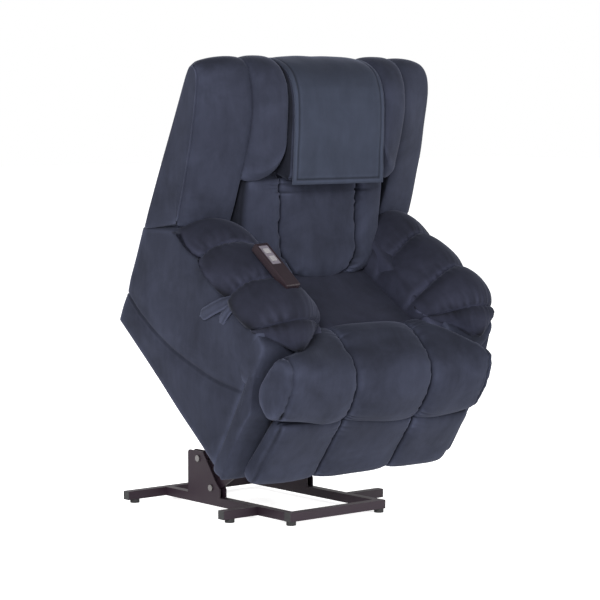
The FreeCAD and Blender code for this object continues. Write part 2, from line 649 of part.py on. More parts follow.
def make_footrest():
    """Footrest: two pairs of folding links carry a padded board that hangs below the seat roll."""
    root, knee, board = (at(*place) for place in (FOOT_ROOT, FOOT_KNEE, FOOT_BOARD))
    running = "{pin_radius} + {pin_play}"
    first, second, roots, lugs = [], [], [], []
    for side, sign in SIDES:
        bar = plate("first_" + side, bar_outline((root.y, root.z), (knee.y, knee.z), 26.0),
                    "{plate_thick}", sign * FOOT_X, [pivot_hole(root, running)], save=False)
        second.append(plate("second_" + side, bar_outline((knee.y, knee.z), (board.y, board.z), 26.0),
                            "{plate_thick}", sign * (FOOT_X + 8),
                            [pivot_hole(knee, running), pivot_hole(board, running)], save=False))
        edge = dim("plate_thick") / 2
        knee_pin = rod("knee_pin_" + side, "{pin_radius}", knee + Vec(sign * (FOOT_X - edge), 0, 0),
                       knee + Vec(sign * (FOOT_X + 8 + edge), 0, 0), save=False)
        first.append(fuse("first_bar_" + side, [bar, knee_pin], save=False))
        roots.append(rod("root_pin_" + side, "{pin_radius}", root + Vec(sign * (FOOT_X - 12), 0, 0),
                         root + Vec(sign * (FOOT_X + edge), 0, 0), save=False))
        hanger = ahead([(FOOT_ROOT[0] - 16, FOOT_ROOT[1] - 16, 12.0),
                        (FOOT_ROOT[0] + 16, FOOT_ROOT[1] - 16, 12.0),
                        (FOOT_ROOT[0] - 4, 214), (FOOT_ROOT[0] - 20, 214)])
        roots.append(plate("hanger_" + side, hanger, "{plate_thick}", sign * (FOOT_X - 14), save=False))
        lug = ahead([(FOOT_BOARD[0] - 14, FOOT_BOARD[1] - 14, 12.0), (620, FOOT_BOARD[1] - 14),
                     (620, FOOT_BOARD[1] + 14), (FOOT_BOARD[0] - 14, FOOT_BOARD[1] + 14, 12.0)])
        lugs.append(plate("lug_" + side, lug, "{plate_thick}", sign * (FOOT_X + 14),
                          [pivot_hole(board, "{pin_radius}")], save=False))
        lugs.append(rod("board_pin_" + side, "{pin_radius}", board + Vec(sign * (FOOT_X + 5), 0, 0),
                        board + Vec(sign * (FOOT_X + 16), 0, 0), save=False))
    group("footrest_first_links", first, CHAIR)
    group("footrest_second_links", second, CHAIR)
    group("footrest_hangers", roots, CHAIR)
    group("footrest_lugs", lugs, CHAIR)
    half = 368.0
    block("footrest_board", at(632, 36, -half + 20), at(620, 196, half - 20), CHAIR)
    pad = ahead([(632.3, 22, 4.0), (650, 14, 10.0), (664, 60, 40.0), (662, 170, 30.0), (645, 206, 8.0),
                 (632.3, 206)])
    prism("footrest_pad", pad, -half, half, CHAIR)


# ---------------------------------------------------------------- handset

HANDSET = CHAIR.multiply(Place(at(330, 512.6, -328), Rot(Vec(0, 0, 1), 4.5)))


BUTTON_ROWS = (22.0, 52.0)


def make_handset():
    """Handset lying on the right arm: a hollow case, a button panel and two sprung buttons."""
    high = 24.0
    case = block("case", Vec(-25, -84, 0), Vec(25, 84, high), save=False, fillet=5.0)
    well = block("case_well", Vec(-17, 0, high - 6), Vec(17, 74, high + 1), save=False)
    cut("handset_case", case, [well], HANDSET)
    panel = block("panel_blank", Vec(-16.9, 0.1, high - 6), Vec(16.9, 73.9, high - 2), save=False)
    holes = []
    for number, y in enumerate(BUTTON_ROWS):
        holes.append(block("button_hole%d" % number, Vec(-9.3, y - 9.3, high - 7), Vec(9.3, y + 9.3, high),
                           save=False))
    cut("handset_panel", panel, holes, HANDSET)
    travel = dim("button_travel")
    for name, y in zip(("button_lower", "button_raise"), BUTTON_ROWS):
        block(name, Vec(-9, y - 9, high - 6 + travel + 0.2), Vec(9, y + 9, high + 1.2), HANDSET, fillet=1.0)


# ---------------------------------------------------------------- build, check and write

def check(thing):
    """Stop if an object failed or its shape can't be used."""
    if "Invalid" in thing.State or "Error" in thing.State:
        raise RuntimeError("%s: %s" % (thing.Label, thing.State))


def write_parts():
    """Check every object, then write each sub-part to its own file."""
    doc.recompute()
    for thing in doc.Objects:
        check(thing)
    os.makedirs("parts", exist_ok=True)
    for thing in pieces:
        shape = thing.Shape
        if shape.isNull() or not shape.isValid() or not shape.Solids:
            raise RuntimeError("bad shape: " + thing.Label)
        shape.exportStep("parts/%s.step" % thing.Label)
    box = Part.makeCompound([thing.Shape for thing in pieces]).BoundBox
    print("sub-parts:", len(pieces))
    print("box: x %.1f..%.1f  y %.1f..%.1f  z %.1f..%.1f"
          % (box.XMin, box.XMax, box.YMin, box.YMax, box.ZMin, box.ZMax))
    print("arm pivot forward %.1f, link pivot forward %.1f" % (ARM_FORWARD, LINK_FORWARD))


make_base()
make_towers()
make_clevis()
make_lift_arms()
make_control_links()
make_actuator()
make_mechanism()
make_seat_frame()
make_panels()
make_arms()
make_seat()
make_backrest()
make_back_hinges()
make_footrest()
make_handset()
write_parts()
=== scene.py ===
"""Lift recliner chair, dressed: velvet upholstery, headrest cover, steel lift base and handset."""
import json
import math

import bmesh
import bpy
import numpy as np
from mathutils import Matrix, Vector, noise


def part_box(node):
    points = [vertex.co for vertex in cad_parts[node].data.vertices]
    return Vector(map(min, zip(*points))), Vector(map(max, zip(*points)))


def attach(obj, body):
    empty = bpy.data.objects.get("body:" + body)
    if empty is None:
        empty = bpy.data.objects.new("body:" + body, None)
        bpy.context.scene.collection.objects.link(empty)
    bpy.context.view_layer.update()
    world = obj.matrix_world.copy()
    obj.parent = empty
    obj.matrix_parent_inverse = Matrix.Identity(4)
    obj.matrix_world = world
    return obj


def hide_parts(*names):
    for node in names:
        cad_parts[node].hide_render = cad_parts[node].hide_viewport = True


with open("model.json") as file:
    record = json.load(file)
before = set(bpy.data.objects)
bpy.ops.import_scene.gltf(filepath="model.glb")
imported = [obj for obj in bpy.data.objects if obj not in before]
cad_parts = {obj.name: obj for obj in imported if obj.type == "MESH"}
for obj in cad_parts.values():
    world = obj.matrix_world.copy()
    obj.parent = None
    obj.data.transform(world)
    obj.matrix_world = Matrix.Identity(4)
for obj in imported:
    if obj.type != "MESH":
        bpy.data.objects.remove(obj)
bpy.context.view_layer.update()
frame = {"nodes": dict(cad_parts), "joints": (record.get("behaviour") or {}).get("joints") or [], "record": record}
NODES = frame["nodes"]
JOINTS = {joint["name"]: joint for joint in frame["joints"]}

# ---------------------------------------------------------------- frames

TIP = math.radians(40)            # forward tip of the raised chair
LEAN = math.radians(20)           # backrest lean in the chair frame
RECLINE = (-0.040, 0.260)         # recline hinge in the chair frame: forward, up
BACK_FOOT = (0.201, 0.356)        # foot of the backrest in the chair frame: forward, up
TOP_RISE = 0.011                  # how far the soft top of the back stands over its frame
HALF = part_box("side_panel_left")[1].x
SIDES = (("right", -1), ("left", 1))


def chair_axes():
    """Origin of the chair frame in the scene, and its forward and up directions."""
    forward = np.array((0, -math.cos(TIP), -math.sin(TIP)))
    up = np.array((0, -math.sin(TIP), math.cos(TIP)))
    hinge = np.array(JOINTS["backrest_recline"]["pos_m"])
    return hinge - forward * RECLINE[0] - up * RECLINE[1], forward, up


ORIGIN, FORWARD, UP = chair_axes()
ACROSS = np.array((1.0, 0, 0))


def from_chair(points):
    """Scene points from chair points (across, forward, up)."""
    points = np.asarray(points, float)
    return (ORIGIN + points[..., 0:1] * ACROSS + points[..., 1:2] * FORWARD
            + points[..., 2:3] * UP)


def back_to_chair(points):
    """Chair points from backrest points (across, rearward, up the back)."""
    points = np.asarray(points, float)
    x, y, z = points[..., 0], points[..., 1], points[..., 2]
    forward = BACK_FOOT[0] - y * math.cos(LEAN) - z * math.sin(LEAN)
    up = BACK_FOOT[1] + z * math.cos(LEAN) - y * math.sin(LEAN)
    return np.stack([x, forward, up], -1)


def from_back(points):
    """Scene points from backrest points (across, rearward, up the back)."""
    points = np.array(points, float)
    points[:, 2] += TOP_RISE * ease(points[:, 2], 0.34, 0.52)
    return from_chair(back_to_chair(points))


# ---------------------------------------------------------------- curves and noise

def arc_length(points):
    """Distance along a line of points, 0 at the first."""
    return np.concatenate([[0], np.cumsum(np.linalg.norm(np.diff(points, axis=0), axis=1))])


def resample(points, length, wanted):
    """Points at the wanted distances along a line."""
    return np.stack([np.interp(wanted, length, column) for column in points.T], -1)


def smooth_curve(points, count, closed=True):
    """A Catmull-Rom curve through the points, resampled at even spacing. Extra columns ride along."""
    points = np.asarray(points, float)
    size = len(points)
    steps = 24
    samples = []
    for index in range(size if closed else size - 1):
        if closed:
            p0, p1, p2, p3 = (points[(index + shift) % size] for shift in (-1, 0, 1, 2))
        else:
            p0, p1 = points[max(index - 1, 0)], points[index]
            p2, p3 = points[index + 1], points[min(index + 2, size - 1)]
        t = np.linspace(0, 1, steps, endpoint=False)[:, None]
        samples.append(0.5 * (2 * p1 + (p2 - p0) * t + (2 * p0 - 5 * p1 + 4 * p2 - p3) * t ** 2
                              + (3 * p1 - p0 - 3 * p2 + p3) * t ** 3))
    dense = np.concatenate(samples)
    dense = np.concatenate([dense, points[:1] if closed else points[-1:]])
    length = arc_length(dense[:, :3])
    result = resample(dense, length, np.linspace(0, length[-1], count + 1 if closed else count))
    return result[:-1] if closed else result


def ease(value, start, end):
    """0 before start, 1 after end, smooth between."""
    t = np.clip((np.asarray(value, float) - start) / (end - start), 0, 1)
    return t * t * (3 - 2 * t)


def ripple(points, size, seed):
    """Smooth noise in -1..1 at each point, features about `size` metres across."""
    shift = Vector((seed * 7.31, seed * 3.17, seed * 5.71))
    flat = np.asarray(points, float).reshape(-1, 3)
    values = [noise.noise(Vector(p) / size + shift) for p in flat]
    return np.array(values).reshape(np.asarray(points).shape[:-1])


def crease(points, size, seed):
    """Sharp folds 0..1: the valleys of smooth noise."""
    return np.exp(-(ripple(points, size, seed) / 0.16) ** 2)


def crown(position, seams, power=2.6):
    """Height 0..1 of a sewn channel at a position: 0 on each seam, 1 in the middle of a channel."""
    position = np.asarray(position, float)
    height = np.zeros_like(position)
    for low, high in zip(seams, seams[1:]):
        inside = (position >= low) & (position <= high)
        t = np.abs(2 * (position - low) / (high - low) - 1)
        height = np.where(inside, (1 - np.clip(t, 0, 1) ** power) ** (1 / power), height)
    return height


def seam_distance(position, seams):
    """Distance to the nearest seam, leaving out the two ends."""
    inner = np.asarray(seams[1:-1], float)
    return np.min(np.abs(np.asarray(position, float)[..., None] - inner), axis=-1)


def spaced(low, high, seams, pitch):
    """Stations from low to high, even but with one exactly on each seam and closer beside it."""
    marks = sorted(set([low, high] + [s for s in seams if low < s < high]))
    stations = []
    for start, end in zip(marks, marks[1:]):
        count = max(4, int((end - start) / pitch))
        t = np.linspace(0, 1, count, endpoint=False)
        t = t - 0.11 * np.sin(2 * math.pi * t)
        stations += list(start + (end - start) * t)
    return np.array(stations + [high])


def loop_normals(loop):
    """Outward normals of a counter-clockwise or clockwise closed 2-D loop."""
    along = np.roll(loop, -1, 0) - np.roll(loop, 1, 0)
    normal = np.stack([along[:, 1], -along[:, 0]], -1)
    normal /= np.linalg.norm(normal, axis=1, keepdims=True) + 1e-12
    area = np.sum(loop[:, 0] * np.roll(loop[:, 1], -1) - np.roll(loop[:, 0], -1) * loop[:, 1])
    return normal * (1 if area > 0 else -1)


# ---------------------------------------------------------------- mesh building

def mark_folds(mesh):
    """Store how folded the surface is at each vertex: up to 1 in a seam or crease, down to -1 on an edge; the
    velvet paints shade and highlight from it.
    """
    count, edge_count = len(mesh.vertices), len(mesh.edges)
    place = np.zeros(count * 3)
    normal = np.zeros(count * 3)
    ends = np.zeros(edge_count * 2, int)
    mesh.vertices.foreach_get("co", place)
    mesh.vertices.foreach_get("normal", normal)
    mesh.edges.foreach_get("vertices", ends)
    place, normal, ends = place.reshape(-1, 3), normal.reshape(-1, 3), ends.reshape(-1, 2)
    links = np.bincount(ends.ravel(), minlength=count)[:, None].clip(1)

    def around(values):
        total = np.zeros_like(values)
        np.add.at(total, ends[:, 0], values[ends[:, 1]])
        np.add.at(total, ends[:, 1], values[ends[:, 0]])
        return total / links

    length = np.linalg.norm(place[ends[:, 0]] - place[ends[:, 1]], axis=1)
    square = np.zeros((count, 1))
    np.add.at(square, ends[:, 0], length[:, None] ** 2)
    np.add.at(square, ends[:, 1], length[:, None] ** 2)
    bend = ((around(place) - place) * normal).sum(1, keepdims=True) / (square / links + 1e-9)
    bend = np.clip(bend, -60, 120)
    for _ in range(7):
        bend = 0.5 * bend + 0.5 * around(bend)
    # The velvet reads this as painted shade in seams and creases and a painted highlight on convex edges.
    layer = mesh.attributes.new("fold", "FLOAT", "POINT")
    layer.data.foreach_set("value", np.clip(bend[:, 0] / 20.0, -1, 1).astype(np.float32))


def make_object(name, verts, faces):
    """A smooth-shaded mesh object with outward normals."""
    mesh = bpy.data.meshes.new(name)
    mesh.from_pydata([tuple(v) for v in verts], [], faces)
    build = bmesh.new()
    build.from_mesh(mesh)
    bmesh.ops.remove_doubles(build, verts=build.verts, dist=1e-6)
    bmesh.ops.recalc_face_normals(build, faces=build.faces)
    build.to_mesh(mesh)
    build.free()
    for polygon in mesh.polygons:
        polygon.use_smooth = True
    mark_folds(mesh)
    thing = bpy.data.objects.new(name, mesh)
    bpy.context.scene.collection.objects.link(thing)
    return thing


def two_sided_faces(columns, rows):
    """Faces of a closed slab: a grid of vertices, the same grid again for its back, and the rim."""
    shift = columns * rows
    faces = []
    for c in range(columns - 1):
        for r in range(rows - 1):
            quad = (c * rows + r, (c + 1) * rows + r, (c + 1) * rows + r + 1, c * rows + r + 1)
            faces += [quad, tuple(shift + k for k in reversed(quad))]
    rim = ([c * rows for c in range(columns)] + [(columns - 1) * rows + r for r in range(1, rows)]
           + [c * rows + rows - 1 for c in range(columns - 2, -1, -1)] + list(range(rows - 2, 0, -1)))
    return faces + [(a, b, shift + b, shift + a) for a, b in zip(rim, rim[1:] + rim[:1])]


def tube_mesh(name, origins, first, second, along, loops, domes, place, power=3.0, sewn=(False, False)):
    """A closed skin through loops of (a, b) points set on origins, with domed ends.

    first, second and along are the directions of each station; domes are the two end depths.
    sewn marks the ends that are sewn to a neighbour, where the seam gets painted shade.
    """
    rings = []
    roundness = (0.0, 0.25, 0.5, 0.7, 0.85, 0.94, 0.985)

    def ring(index, scale, push):
        loop = loops[index]
        centre = loop.mean(0)
        flat = centre + (loop - centre) * scale
        return (origins[index] + flat[:, :1] * first[index] + flat[:, 1:2] * second[index]
                + along[index] * push)

    for share in roundness:
        rings.append(ring(0, max(share, 0.02), -domes[0] * (1 - share ** power) ** (1 / power)))
    for index in range(len(loops)):
        rings.append(ring(index, 1.0, 0.0))
    for share in reversed(roundness):
        rings.append(ring(len(loops) - 1, max(share, 0.02), domes[1] * (1 - share ** power) ** (1 / power)))
    rings = np.array(rings)
    count, size = rings.shape[:2]
    verts = place(rings.reshape(-1, 3))
    faces = []
    for row in range(count - 1):
        for column in range(size):
            after = (column + 1) % size
            faces.append((row * size + column, row * size + after,
                          (row + 1) * size + after, (row + 1) * size + column))
    faces.append(tuple(range(size)))
    faces.append(tuple((count - 1) * size + column for column in range(size)))
    thing = make_object(name, verts, faces)
    layer = thing.data.attributes["fold"].data
    edge = (len(roundness) + 1) * size
    for index in range(len(layer)):
        if (sewn[0] and index < edge) or (sewn[1] and index >= count * size - edge):
            # Painted shade along the seam where this end meets its neighbour.
            layer[index].value = 0.8
    return thing


def roll_across(name, stations, loops, domes, place, power=3.0, sewn=(False, False)):
    """A piece that runs across the chair: one loop of (forward, up) points per x station."""
    count = len(stations)
    origins = np.zeros((count, 3))
    origins[:, 0] = stations
    first = np.tile((0.0, 1, 0), (count, 1))
    second = np.tile((0.0, 0, 1), (count, 1))
    along = np.tile((1.0, 0, 0), (count, 1))
    return tube_mesh(name, origins, first, second, along, loops, domes, place, power, sewn)


def channelled_loops(stations, base_at, seams, height, seed, gather=0.0016, size=180, puckers=None):
    """Loops across the chair: a base outline per station, swollen between the seams.

    base_at gives (forward, up, swell) control points; swell scales the crown on each side.
    puckers are the seams that gather the cloth, where they differ from the seams of the channels.
    """
    loops = []
    for x in stations:
        base = smooth_curve(base_at(x), size)
        flat, swell = base[:, :2], base[:, 2:3]
        normal = loop_normals(flat)
        lift = height * crown(np.array([x]), seams)[0]
        reach = seam_distance(np.array([x]), puckers or seams)[0] if len(puckers or seams) > 2 else 1.0
        points = np.stack([np.full(size, x), flat[:, 0], flat[:, 1]], -1)
        fold = crease(points * (0.10, 1, 1), 0.013, seed) * gather * -2.4 * math.exp(-reach / 0.020)
        fold = fold - 0.006 * math.exp(-(reach / 0.0045) ** 2)
        broad = ripple(points, 0.11, seed + 3) * 0.0030
        loops.append(flat + normal * (lift * swell + (fold + broad)[:, None] * np.clip(swell, 0, 1)))
    return loops


# ---------------------------------------------------------------- materials

def node_material(name):
    """An empty node material and its Principled shader."""
    material = bpy.data.materials.new(name)
    material.use_nodes = True
    tree = material.node_tree
    shader = tree.nodes["Principled BSDF"]
    return material, tree, shader


def set_inputs(node, **inputs):
    """Set some of a node's own sockets; an underscore in a name stands for a space."""
    for key, value in inputs.items():
        node.inputs[key.replace("_", " ")].default_value = value


def add(tree, kind, **inputs):
    """A shader node with some inputs set."""
    node = tree.nodes.new(kind)
    set_inputs(node, **inputs)
    return node


def grain(tree, place, **inputs):
    """Noise at a place socket."""
    node = add(tree, "ShaderNodeTexNoise", **inputs)
    tree.links.new(place, node.inputs["Vector"])
    return node.outputs["Fac"]


def stretched(tree, place, scale):
    """A place socket scaled along each axis."""
    node = add(tree, "ShaderNodeMapping", Scale=scale)
    tree.links.new(place, node.inputs["Vector"])
    return node.outputs[0]


def map_range(tree, value, kind="LINEAR", **ends):
    """A socket carried from one range to another."""
    node = add(tree, "ShaderNodeMapRange", **ends)
    node.interpolation_type = kind
    tree.links.new(value, node.inputs["Value"])
    return node.outputs[0]


def add_relief(tree, shader, height, strength, distance):
    """Fine bump on a shader."""
    node = add(tree, "ShaderNodeBump", Strength=strength, Distance=distance)
    tree.links.new(height, node.inputs["Height"])
    tree.links.new(node.outputs[0], shader.inputs["Normal"])


def mix_colour(tree, factor, dark, light):
    """A colour between two, chosen by a factor socket."""
    ramp = tree.nodes.new("ShaderNodeMix")
    ramp.data_type = "RGBA"
    ramp.inputs[6].default_value = (*dark, 1)
    ramp.inputs[7].default_value = (*light, 1)
    tree.links.new(factor, ramp.inputs[0])
    return ramp.outputs[2]


def velvet(name, colour, sheen=0.55, nap=0.22, bump=0.35, upper=0.60):
    """Short-pile velvet: brushed patches, fine pile grain, painted shade in folds and seams, a painted highlight
    on edges, and a soft sheen.

    Surfaces that face up are painted darker, as painted shade for how the pile takes the light; upper is how much
    is left there.
    """
    material, tree, shader = node_material(name)
    link = tree.links.new
    place = tree.nodes.new("ShaderNodeTexCoord").outputs["Object"]
    patches = grain(tree, place, Scale=7.0, Detail=4.0, Roughness=0.62, Distortion=0.6)
    fine = grain(tree, place, Scale=420.0, Detail=3.0, Roughness=0.7)
    streaks = grain(tree, stretched(tree, place, (1.0, 1.0, 0.28)), Scale=46.0, Detail=3.0, Roughness=0.6)
    blend = tree.nodes.new("ShaderNodeMath")
    blend.operation = "MULTIPLY_ADD"
    blend.inputs[1].default_value = 0.35
    link(streaks, blend.inputs[0])
    link(patches, blend.inputs[2])
    spread = map_range(tree, blend.outputs[0], From_Min=0.42, From_Max=0.92)
    dark = tuple(c * (1 - nap) for c in colour)
    light = tuple(c * (1 + nap) for c in colour)
    # Painted shade in seams and creases and a painted highlight on convex edges, read from the fold attribute.
    fold = tree.nodes.new("ShaderNodeAttribute")
    fold.attribute_name = "fold"
    shade = map_range(tree, fold.outputs["Fac"], From_Min=-1.0, From_Max=1.0, To_Min=1.16, To_Max=0.10)
    # Painted shade on surfaces that face up, and a slight painted highlight on those that face sideways or down,
    # from the world normal.
    facing = tree.nodes.new("ShaderNodeSeparateXYZ")
    link(tree.nodes.new("ShaderNodeNewGeometry").outputs["Normal"], facing.inputs[0])
    up_facing_shade = map_range(tree, facing.outputs["Z"], "SMOOTHSTEP", From_Min=-0.10, From_Max=0.85, To_Min=1.08,
                       To_Max=upper)
    both = tree.nodes.new("ShaderNodeMath")
    both.operation = "MULTIPLY"
    link(shade, both.inputs[0])
    link(up_facing_shade, both.inputs[1])
    # The velvet's colour scaled by its painted shade and painted highlight.
    painted_shade_colour = tree.nodes.new("ShaderNodeVectorMath")
    painted_shade_colour.operation = "SCALE"
    link(mix_colour(tree, spread, dark, light), painted_shade_colour.inputs[0])
    link(both.outputs[0], painted_shade_colour.inputs["Scale"])
    link(painted_shade_colour.outputs[0], shader.inputs["Base Color"])
    add_relief(tree, shader, fine, bump, 0.0006)
    set_inputs(shader, Roughness=0.88, Specular_IOR_Level=0.12, Sheen_Weight=sheen, Sheen_Roughness=0.42,
               Sheen_Tint=(0.62, 0.68, 0.95, 1))
    return material


def hard_material(name, colour, rough, metal=0.0, bump=0.08, wear=0.12, coat=0.0, shine=0.5):
    """Paint, plastic, rubber or metal, with a fine surface grain and uneven gloss."""
    material, tree, shader = node_material(name)
    link = tree.links.new
    place = tree.nodes.new("ShaderNodeTexCoord").outputs["Object"]
    fine = grain(tree, place, Scale=600.0, Detail=2.0, Roughness=0.6)
    broad = grain(tree, place, Scale=18.0, Detail=4.0, Roughness=0.65)
    dark = tuple(c * (1 - wear) for c in colour)
    light = tuple(min(1.0, c * (1 + wear)) for c in colour)
    link(mix_colour(tree, broad, dark, light), shader.inputs["Base Color"])
    gloss = map_range(tree, broad, To_Min=max(0.03, rough - 0.08), To_Max=min(1.0, rough + 0.1))
    link(gloss, shader.inputs["Roughness"])
    add_relief(tree, shader, fine, bump, 0.0004)
    set_inputs(shader, Metallic=metal, Coat_Weight=coat, Specular_IOR_Level=shine)
    return material


def plywood(name):
    """Sawn plywood: long grain bands."""
    material, tree, shader = node_material(name)
    place = tree.nodes.new("ShaderNodeTexCoord").outputs["Object"]
    bands = grain(tree, stretched(tree, place, (2.0, 26.0, 26.0)), Scale=3.0, Detail=6.0, Roughness=0.6,
                  Distortion=0.8)
    colour = mix_colour(tree, bands, (0.30, 0.19, 0.10), (0.62, 0.45, 0.28))
    tree.links.new(colour, shader.inputs["Base Color"])
    add_relief(tree, shader, bands, 0.2, 0.0005)
    set_inputs(shader, Roughness=0.7)
    return material


NAVY = (0.0300, 0.0338, 0.0550)
TOP_NAVY = (0.0370, 0.0398, 0.0670)        # seat and arm tops: a lighter copy of the navy, set against the painted shade the velvet puts on what faces up
COVER_NAVY = (0.0370, 0.0445, 0.0690)
MATERIALS = {
    "velvet": velvet("velvet_navy", NAVY, sheen=0.10, nap=0.34),
    # A lighter copy of the navy velvet for the tops, which the material then darkens with painted shade.
    "velvet_top": velvet("velvet_navy_lighter_copy_for_tops", TOP_NAVY, sheen=0.07, nap=0.30),
    "headrest_velvet": velvet("velvet_headrest", COVER_NAVY, sheen=0.12, nap=0.18),
    "black_paint": hard_material("black_powder_coat", (0.0225, 0.0130, 0.0205), 0.46, bump=0.2, shine=0.28),
    "steel_paint": hard_material("black_pressed_steel", (0.0090, 0.0050, 0.0085), 0.50, bump=0.15,
                                 shine=0.08),
    "zinc": hard_material("zinc_plate", (0.24, 0.23, 0.23), 0.38, metal=1.0),
    "chrome_rod": hard_material("ground_rod", (0.78, 0.78, 0.79), 0.14, metal=1.0, wear=0.04),
    "actuator_aluminium": hard_material("actuator_casting", (0.34, 0.34, 0.36), 0.45, metal=0.6),
    "black_plastic": hard_material("black_plastic", (0.02, 0.02, 0.022), 0.55, bump=0.3),
    "foot_rubber": hard_material("foot_rubber", (0.015, 0.015, 0.016), 0.75, bump=0.3),
    "plywood": plywood("plywood"),
    "spring_steel": hard_material("spring_steel", (0.2, 0.2, 0.21), 0.4, metal=1.0),
    "handset_plastic": hard_material("handset_case", (0.0150, 0.0085, 0.0120), 0.40, bump=0.15, shine=0.25),
    "handset_insert": hard_material("handset_insert", (0.13, 0.115, 0.14), 0.30, bump=0.05, coat=0.3),
    "button_rubber": hard_material("button_keys", (0.24, 0.23, 0.24), 0.55, bump=0.1),
}


def dress(thing, material):
    """Give an object one material."""
    thing.data.materials.clear()
    thing.data.materials.append(MATERIALS[material])


def finish_soft(thing, body, material, nodes=()):
    """Ride a soft piece on its body in place of its CAD nodes."""
    dress(thing, material)
    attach(thing, body)
    if nodes:
        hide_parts(*nodes)
    return thing


def dress_hard_nodes():
    """Each CAD node that stays visible gets its slot's material."""
    for part in frame["record"]["subparts"]:
        slot = part["material_slot"]
        if slot in MATERIALS:
            dress(NODES[part["node"]], slot)


# ---------------------------------------------------------------- seat

CHANNEL = 0.138         # x of the two inner seams of the seat roll and the footrest
ROLL_TOP = [(0.425, 0.300, 0), (0.436, 0.372, 0.4), (0.490, 0.392, 1), (0.535, 0.390, 1),
            (0.580, 0.384, 1), (0.612, 0.364, 1), (0.634, 0.328, 1), (0.642, 0.290, 1), (0.645, 0.245, 1),
            (0.636, 0.214, 0.7), (0.600, 0.210, 0.2), (0.520, 0.216, 0), (0.450, 0.240, 0)]
ROLL_END = [(0.562, 0.286, 0.3), (0.564, 0.336, 0.5), (0.574, 0.370, 1), (0.588, 0.384, 1),
            (0.603, 0.381, 1), (0.619, 0.360, 1), (0.633, 0.326, 1), (0.641, 0.290, 1), (0.643, 0.250, 1),
            (0.635, 0.224, 0.7), (0.612, 0.217, 0.2), (0.586, 0.224, 0), (0.568, 0.248, 0)]


def make_seat_roll():
    """Front roll: three channels that spill over the front edge, round-ended under the arms."""
    low, high = 0.043 - HALF, HALF - 0.080      # its two ends reach differently far under the arms
    seams = [low - 0.030, -CHANNEL, CHANNEL, high + 0.018]
    stations = spaced(low - 0.020, high + 0.012, [low, -CHANNEL, CHANNEL, high], 0.006)

    def base_at(x):
        share = ease(abs(x), 0.18, 0.37)
        end = np.array(ROLL_END) + (0.0, 0.028 if x < 0 else 0.004, 0.0)
        points = np.array(ROLL_TOP) * (1 - share) + end * share
        raised = 0.022 * ease(-x, -CHANNEL, CHANNEL)        # the bottom line rises to the sitter's right
        points[:, 1] += raised * np.clip((0.31 - points[:, 1]) / 0.08, 0, 1)
        return points

    loops = channelled_loops(stations, base_at, seams, 0.026, seed=1, gather=0.0024, size=240,
                             puckers=[-1.0, low, -CHANNEL, CHANNEL, high, 1.0])
    roll = roll_across("seat_roll_skin", stations, loops, (0.012, 0.010), from_chair, power=2.2)
    return finish_soft(roll, "seat_unit", "velvet", ["seat_roll"])


def make_seat_cushion():
    """The flat seat between the arms, a little dished where the sitter sits."""
    half = 0.205
    seams = [-half, half]
    stations = spaced(-half, half, seams, 0.012)
    base = [(0.080, 0.215, 0), (0.078, 0.325, 0.3), (0.110, 0.340, 0.6), (0.210, 0.347, 1),
            (0.330, 0.362, 1), (0.425, 0.378, 1), (0.442, 0.368, 0.5), (0.444, 0.300, 0), (0.440, 0.215, 0)]
    loops = channelled_loops(stations, lambda x: base, seams, 0.008, seed=2)
    cushion = roll_across("seat_cushion_skin", stations, loops, (0.014, 0.014), from_chair)
    return finish_soft(cushion, "seat_unit", "velvet_top", ["seat_cushion"])


def make_footrest():
    """Footrest pad: three shallow channels on a board."""
    half = 0.352
    seams = [-half, -CHANNEL, CHANNEL, half]
    stations = spaced(-half, half, seams, 0.007)
    base = [(0.614, 0.032, 0), (0.615, 0.120, 0), (0.616, 0.200, 0), (0.634, 0.209, 0.2),
            (0.641, 0.207, 0.4), (0.648, 0.196, 0.8), (0.651, 0.150, 1), (0.655, 0.090, 1),
            (0.658, 0.040, 1), (0.652, 0.018, 0.7), (0.638, 0.014, 0.2), (0.622, 0.018, 0)]

    def base_at(x):
        points = np.array(base)
        raised = 0.026 * ease(-x, -CHANNEL, CHANNEL)        # the top edge follows the roll above it
        points[:, 1] += raised * np.clip((points[:, 1] - 0.12) / 0.06, 0, 1)
        return points

    loops = channelled_loops(stations, base_at, seams, 0.017, seed=4)
    pad = roll_across("footrest_pad_skin", stations, loops, (0.014, 0.014), from_chair)
    return finish_soft(pad, "footrest", "velvet", ["footrest_pad"])


# ---------------------------------------------------------------- arms

ARM_PATH = [(0.020, 0.374), (0.063, 0.384), (0.129, 0.408), (0.203, 0.424), (0.300, 0.440), (0.404, 0.454),
            (0.452, 0.460), (0.480, 0.452), (0.494, 0.436), (0.497, 0.420)]
ARM_LOOP = [(0.204, -0.102), (0.184, -0.084), (0.188, -0.062), (0.212, -0.028), (0.248, 0.010),
            (0.292, 0.040), (0.342, 0.046), (0.392, 0.026), (0.424, -0.004), (0.435, -0.024),
            (0.430, -0.040), (0.402, -0.052), (0.350, -0.070), (0.280, -0.100)]
ARM_SEAMS = (0.147, 0.318)
ARM_CENTRE = np.array((0.320, -0.015))
ARM_CAP = 0.040         # length of the rolled front end, past its own seam
NOSE = ((0.40, 0.45, 0.50, 0.53, 0.55, 0.575), (1.0, 0.94, 0.84, 0.73, 0.62, 0.44))   # width by forward
NOSE_X = 0.334          # the line that the nose narrows towards
# top edge of the side panel, from its rear corner to its front one, as (forward, up)
PANEL_LINE = [(-0.095, 0.290), (-0.023, 0.352), (0.060, 0.418), (0.276, 0.424), (0.484, 0.432)]


